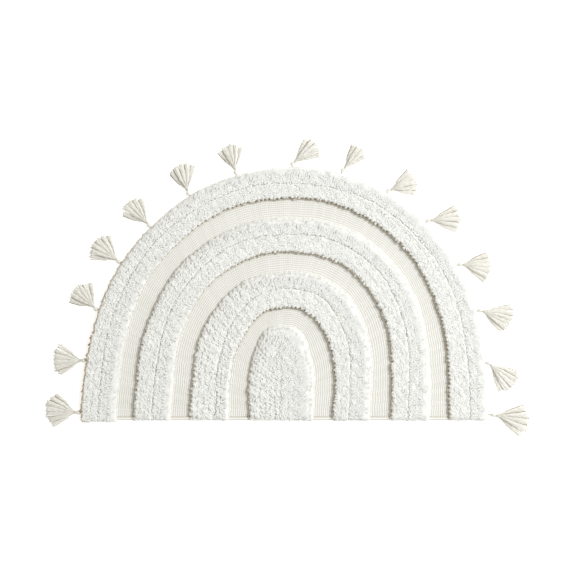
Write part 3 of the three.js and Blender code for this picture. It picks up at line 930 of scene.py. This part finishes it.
def add_weave(name, outer, inner, finish):
    """A channel's strip of ground cloth: ribs along the arch, crossed by rows of stitches."""
    patch = patch_between(outer, inner)
    hidden = STRIP_HIDDEN / patch.width
    ribs = round(patch.width * (1 + 2 * hidden) / RIB_PITCH)
    stitches = round(patch.length / STITCH_PITCH)
    columns = np.arange(stitches * len(STITCH_SHAPE) + 1)
    rows = np.arange(ribs * len(RIB_SHAPE) + 1)
    inwards = rows / rows[-1] * (1 + 2 * hidden) - hidden
    share, across = np.meshgrid(columns / columns[-1], inwards, indexing="ij")
    rib = np.array(RIB_SHAPE)[rows % len(RIB_SHAPE)][None, :]
    stitch = np.array(STITCH_SHAPE)[columns % len(STITCH_SHAPE)][:, None]
    relief = rib * (RIB_RELIEF - STITCH_RELIEF + STITCH_RELIEF * stitch)
    rings = closed_strip(on_patch(patch, share, across), GROUND_HEIGHT - RIB_RELIEF + relief)
    # Painted shade in the valleys and painted shadow by a steep flank; hidden sides in full painted shade
    light = VALLEY_PAINTED_LIGHTNESS + (1 - VALLEY_PAINTED_LIGHTNESS) * relief / RIB_RELIEF
    light *= painted_foot_shadow(patch, share, across)
    painted_lightness = np.concatenate([light, np.zeros((len(rings), 2))], axis=1).ravel()
    row_shades = (1 + unevenness(columns // len(STITCH_SHAPE), WEAVE_PAIR)) / 2
    looks = {"tuft": np.repeat(row_shades, rings.shape[1]), "rise": painted_lightness}
    return add_piece(name, rings.reshape(-1, 3), loft(rings), finish, looks)


def add_ground(finish):
    """The cloth that everything is tufted through, its curved edge under the rim's pile."""
    edge = rim_border + towards_middle(rim_border) * EDGE_INSET
    edge = at_share(edge, np.linspace(0, 1, GROUND_POINTS))
    edge[:, 1] = np.maximum(edge[:, 1], 0)
    count = len(edge)
    low = np.column_stack([edge, np.zeros(count)])
    high = np.column_stack([edge, np.full(count, CLOTH_THICKNESS)])
    index = np.arange(count)
    beside = np.roll(index, -1)
    sides = np.stack([index, index + count, beside + count, beside], axis=-1).tolist()
    faces = sides + [index.tolist(), (index[::-1] + count).tolist()]
    ground = add_piece("ground_cloth", np.concatenate([low, high]), faces, finish)
    ground.data.polygons.foreach_set("use_smooth", [False] * len(ground.data.polygons))
    return ground


def add_hem(finish):
    """The turned hem along the straight side, flat below and rounded above."""
    left, right = rim_border[0, 0] + HEM_END_INSET, rim_border[-1, 0] - HEM_END_INSET
    steps = int((right - left) / STITCH_PITCH * len(STITCH_SHAPE))
    section = np.array(HEM_SECTION)
    dent = np.array(STITCH_SHAPE)[np.arange(steps + 1) % len(STITCH_SHAPE)]
    near_seam = np.exp(-(((section[:, 0] - SEAM_SHARE) / SEAM_REACH) ** 2))
    dip = (SEAM_DIP + SEAM_BETWEEN_DIP * (1 - dent[:, None])) * near_seam
    rings = np.zeros((steps + 1, len(section), 3))
    rings[..., 0] = np.linspace(left, right, steps + 1)[:, None]
    rings[..., 1] = section[:, 0] * HEM_WIDTH
    rings[..., 2] = section[:, 1] * HEM_HEIGHT - dip * (section[:, 1] > HEM_TOP_SHARE)
    from_edge = np.minimum(section[:, 0], 1 - section[:, 0])
    # Painted shadow near the hem's edges and painted shade in the seam's dip
    light = np.interp(from_edge, *HEM_EDGE_PAINTED_SHADE) * (1 - SEAM_PAINTED_SHADE * near_seam)
    painted_lightness = np.tile(light, steps + 1)
    looks = {"tuft": np.full(len(painted_lightness), HEM_SHADE), "rise": painted_lightness}
    return add_piece("straight_hem", rings.reshape(-1, 3), loft(rings), finish, looks)


def add_hem_stitches(finish):
    """The row of running stitches that holds the hem down."""
    left, right = rim_border[0, 0] + THREAD_END_INSET, rim_border[-1, 0] - THREAD_END_INSET
    middles = np.arange(left, right, STITCH_PITCH)
    reach = np.linspace(-1, 1, STITCH_RINGS)
    spines = np.zeros((len(middles), len(reach), 3))
    spines[..., 0] = middles[:, None] + reach * STITCH_REACH * STITCH_PITCH
    spines[..., 1] = SEAM_SHARE * HEM_WIDTH
    spines[..., 2] = HEM_HEIGHT - SEAM_DIP - STITCH_DIVE * reach**STITCH_SHARPNESS
    across = np.tile([0.0, 1.0, 0.0], (len(middles), 1))
    thread = np.full(spines.shape[:2], THREAD_RADIUS)
    points, faces = sweep(spines, across, thread, thread, THREAD_SIDES)
    return add_piece("hem_stitches", points, faces, finish)


def wound_ring(along, radius, tilt, wrap_radius):
    """One turn of yarn round the tassel's axis, a closed tube in the tassel's own frame."""
    angle = round_angles(WRAP_STEPS)
    side = np.cos(angle) * radius
    path = np.column_stack([along + tilt * side, side, KNOT_RADIUS + np.sin(angle) * radius])
    forward = unit(np.roll(path, -1, 0) - np.roll(path, 1, 0))
    out = unit(path - path.mean(axis=0))
    aside = np.cross(forward, out)
    angle = round_angles(WRAP_SIDES)
    rings = path[:, None] + wrap_radius * (
        np.cos(angle)[None, :, None] * out[:, None] + np.sin(angle)[None, :, None] * aside[:, None]
    )
    rings = np.concatenate([rings, rings[:1]])
    return rings.reshape(-1, 3), loft(rings, capped=False)


def turned(points, angle):
    """Points turned about the upright axis."""
    spin = np.array([[math.cos(angle), math.sin(angle)], [-math.sin(angle), math.cos(angle)]])
    result = np.array(points)
    result[..., :2] = result[..., :2] @ spin
    return result


def core_part():
    """The yarn inside the wound turns, a plain round core with a waist."""
    angle = round_angles(CORE_SIDES)
    rings = np.stack([
        np.column_stack([
            np.full(CORE_SIDES, along),
            np.cos(angle) * radius,
            KNOT_RADIUS + np.sin(angle) * radius,
        ])
        for along, radius in zip(*CORE)
    ])
    return rings.reshape(-1, 3), loft(rings)


def knot_parts():
    """The knot: turns of yarn wound round the core."""
    parts = [core_part()]
    for turn in range(KNOT_TURNS):
        place = ((turn + 0.5) / KNOT_TURNS * 2 - 1) * (1 - WRAP_RADIUS / KNOT_RADIUS)
        radius = (KNOT_RADIUS - WRAP_RADIUS) * math.sqrt(1 - place**2)
        parts.append(wound_ring(place * KNOT_RADIUS, radius, KNOT_TILT, WRAP_RADIUS))
    return parts


def tie_parts(length, turn):
    """The tie, thin turns from the knot back into the rim."""
    parts = []
    pitch = 2 * THIN_WRAP_RADIUS
    for number in range(max(round(length / pitch), 1) + 1):
        place = -KNOT_RADIUS - number * pitch
        points, faces = wound_ring(place, TIE_RADIUS, THIN_WRAP_TILT, THIN_WRAP_RADIUS)
        parts.append((turned(points, turn), faces))
    return parts


def waist_parts():
    """Turns that hold the yarns together in front of the knot."""
    return [wound_ring(place, WAIST_RADIUS, THIN_WRAP_TILT, THIN_WRAP_RADIUS) for place in WAIST_PLACES]


def yarn_spine(tassel, angle, length, lift, radius, random):
    """The centre line of one yarn in the tassel's own frame, lying down towards its end."""
    near = np.linspace(0, 1, YARN_RINGS)
    reach = YARN_START + near * (length - YARN_START)
    curl = tassel.bend * (reach / tassel.length) ** 2
    turn = near * math.pi * random.uniform(*SWAY_HALF_TURNS)
    sway = YARN_SWAY * near * np.sin(turn + random.uniform(*ANY_TURN))
    aside = reach * math.sin(angle) * np.interp(near, *FAN_OPENING) + curl + sway
    root_lift = np.interp(near, *ROOT_LIFTS)
    return np.column_stack([reach * math.cos(angle), aside, np.maximum(root_lift, lift) + radius])


def yarn_spines(tassel, order, random):
    """Centre lines of a tassel's yarns, fanned out in ridged clumps on the floor, with their
    radii, and each one's shade and rise."""
    spread = math.radians(tassel.spread)
    clumps = round(2 * tassel.spread / CLUMP_PITCH) + 1
    pitch = 2 * spread / (clumps - 1)
    near = np.linspace(0, 1, YARN_RINGS)
    radius = np.interp(near, *YARN_RADII)
    spines, shades, painted_lightness = [], [], []
    for clump in range(clumps):
        place = 2 * clump / (clumps - 1) - 1
        length = tassel.length * (1 - EDGE_SHORTER * place * place + RAGGED * unevenness(order, clump))
        clump_shade = random.uniform(*CLUMP_SHADES)
        for beside in YARN_PLACES:
            in_gap = beside == YARN_PLACES[-1]
            angle = spread * place + beside * pitch / 2 + random.normal(0, YARN_ANGLES)
            lift = (1 - place**MOUND_SQUARENESS) * np.interp(near, *MOUND_LIFTS)
            if not in_gap:
                lift = lift + (1 - beside**2) * np.interp(near, *RIDGE_LIFTS)
            own_length = length * (1 + random.uniform(*YARN_CUTS))
            spines.append(yarn_spine(tassel, angle, own_length, lift, radius, random))
            # A yarn in a gap is painted the tan of shaded yarn, at the dull end of the shades
            shades.append(0 if in_gap else np.clip(clump_shade + random.uniform(*OWN_SHADES), 0, 1))
            painted_lightness.append(GAP_PAINTED_LIGHTNESS if in_gap else 1)
    return np.array(spines), np.tile(radius, (len(spines), 1)), np.array(shades), np.array(painted_lightness)


def yarn_parts(tassel, order, random):
    """The plied yarns of a tassel's fan: two plies give each a turning oval section."""
    spines, radii, shades, painted_lightness = yarn_spines(tassel, order, random)
    count = len(spines)
    turns = np.arange(YARN_RINGS)[None, :] * PLY_TURN + random.uniform(*ANY_TURN, count)[:, None]
    across = np.tile([0.0, 1.0, 0.0], (count, 1))
    points, faces = sweep(spines, across, radii, radii, YARN_SIDES)
    angle = round_angles(YARN_SIDES)
    ply = np.cos(2 * (angle[None, None, :] - turns[:, :, None]))
    centre = np.repeat(spines, YARN_SIDES, axis=1)
    points = centre + (points - centre) * (1 + PLY_DEPTH * ply).reshape(count, -1, 1)
    points[..., 2] = np.maximum(points[..., 2], FLOOR_CLEARANCE)
    # Painted shade in the crease between the plies
    painted_lightness = np.repeat(painted_lightness, YARN_RINGS * YARN_SIDES) * (1 - PLY_PAINTED_SHADE + PLY_PAINTED_SHADE * ply.reshape(-1))
    return points.reshape(-1, 3), faces, np.repeat(shades, YARN_RINGS * YARN_SIDES), painted_lightness


def rim_at(share):
    """The rim's place and outward direction at a share of its length."""
    place = at_share(rim_border, np.array([share]))[0]
    ahead, behind = at_share(rim_border, np.array([share + RIM_STEP, share - RIM_STEP]))
    along = ahead - behind
    return place, math.atan2(along[0], -along[1])


def add_tassel(order, tassel, finish, random):
    """One tassel tied to the rim: its tie and knot, and its yarns lying on the floor."""
    place, outwards = rim_at(tassel.along)
    aim = math.radians(tassel.aim)
    knot = place + tassel.out * heading(outwards)
    fan_points, fan_faces, shades, painted_lightness = yarn_parts(tassel, order, random)
    head = joined(knot_parts())
    bound = joined(tie_parts(tassel.out - KNOT_RADIUS, outwards - aim) + waist_parts())
    points, faces = joined([(fan_points, fan_faces), head, bound])
    points = turned(points, aim)
    points[:, :2] += knot
    # The tie and the waist are darkened by painted shade
    on_head, on_bound = np.ones(len(head[0])), np.ones(len(bound[0]))
    looks = {
        "tuft": np.concatenate([shades, HEAD_SHADE * on_head, 0 * on_bound]),
        "rise": np.concatenate([painted_lightness, HEAD_RISE * on_head, BOUND_PAINTED_LIGHTNESS * on_bound]),
    }
    piece = add_piece(f"tassel_yarn_{order + 1:02d}", points, faces, finish, looks)
    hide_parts(f"tassel_{order + 1:02d}")


def add_floor():
    """A plain pale floor under the rug."""
    mesh = bpy.data.meshes.new("studio_floor")
    half = FLOOR_HALF_SIDE
    corners = [(-half, -half, 0), (half, -half, 0), (half, half, 0), (-half, half, 0)]
    mesh.from_pydata(corners, [], [(0, 1, 2, 3)])
    mesh.materials.append(studio_floor())
    new_object("studio_floor", mesh)


def add_window_light():
    """A large soft light, as from a window, that points at the rug's middle."""
    lamp = bpy.data.lights.new("window_light", "AREA")
    lamp.shape = "SQUARE"
    lamp.size = KEY_SIZE
    lamp.energy = KEY_POWER
    lamp.color = srgb(KEY_COLOUR)[:3]
    light = new_object("window_light", lamp)
    turn, rise = math.radians(KEY_AZIMUTH), math.radians(KEY_ELEVATION)
    level = math.cos(rise)
    direction = Vector((math.cos(turn) * level, math.sin(turn) * level, math.sin(rise)))
    light.location = direction * KEY_DISTANCE
    light.rotation_euler = (-light.location).to_track_quat("-Z", "Y").to_euler()


def add_surroundings():
    """An evenly bright room, its walls a faintly warm white."""
    world = bpy.data.worlds.new("warm white room")
    world.use_nodes = True
    background = world.node_tree.nodes["Background"]
    background.inputs["Color"].default_value = srgb(ROOM_COLOUR)
    background.inputs["Strength"].default_value = ROOM_LIGHT
    bpy.context.scene.world = world


def add_camera():
    """A camera straight above, with the hem's middle where the photograph has it."""
    lens = bpy.data.cameras.new("camera")
    lens.lens = LENS
    lens.sensor_width = SENSOR
    camera = new_object("camera", lens)
    aside = (IMAGE_SIDE / 2 - HEM_MIDDLE_PIXEL[0]) * PIXEL
    beyond = (HEM_MIDDLE_PIXEL[1] - IMAGE_SIDE / 2) * PIXEL
    height = IMAGE_SIDE * PIXEL * LENS / SENSOR + SHARP_HEIGHT
    camera.location = Vector((HEM_MIDDLE[0] + aside, HEM_MIDDLE[1] + beyond, height)) * MM
    bpy.context.scene.camera = camera


def dress_rug():
    """Makes every piece of the rug and hides the imported parts that they replace."""
    random = np.random.default_rng(RANDOM_SEED)
    pile, weave, yarn = cut_pile_cotton(), flat_woven_cotton(), spun_cotton_yarn()
    ground = add_ground(canvas_back())
    on_cloth = [add_pile(rope, pile, random) for rope in ROPES]
    for name, outside, inside in CHANNELS:
        on_cloth.append(add_weave(name, border(outside), border(inside), weave))
    on_cloth.append(add_hem(folded_cotton_hem()))
    on_cloth.append(add_hem_stitches(sewing_thread()))
    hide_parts("rug")
    for order, tassel in enumerate(TASSELS):
        add_tassel(order, tassel, yarn, random)


dress_rug()
add_floor()
add_window_light()
add_surroundings()
add_camera()
bpy.context.scene.view_settings.view_transform = "Standard"
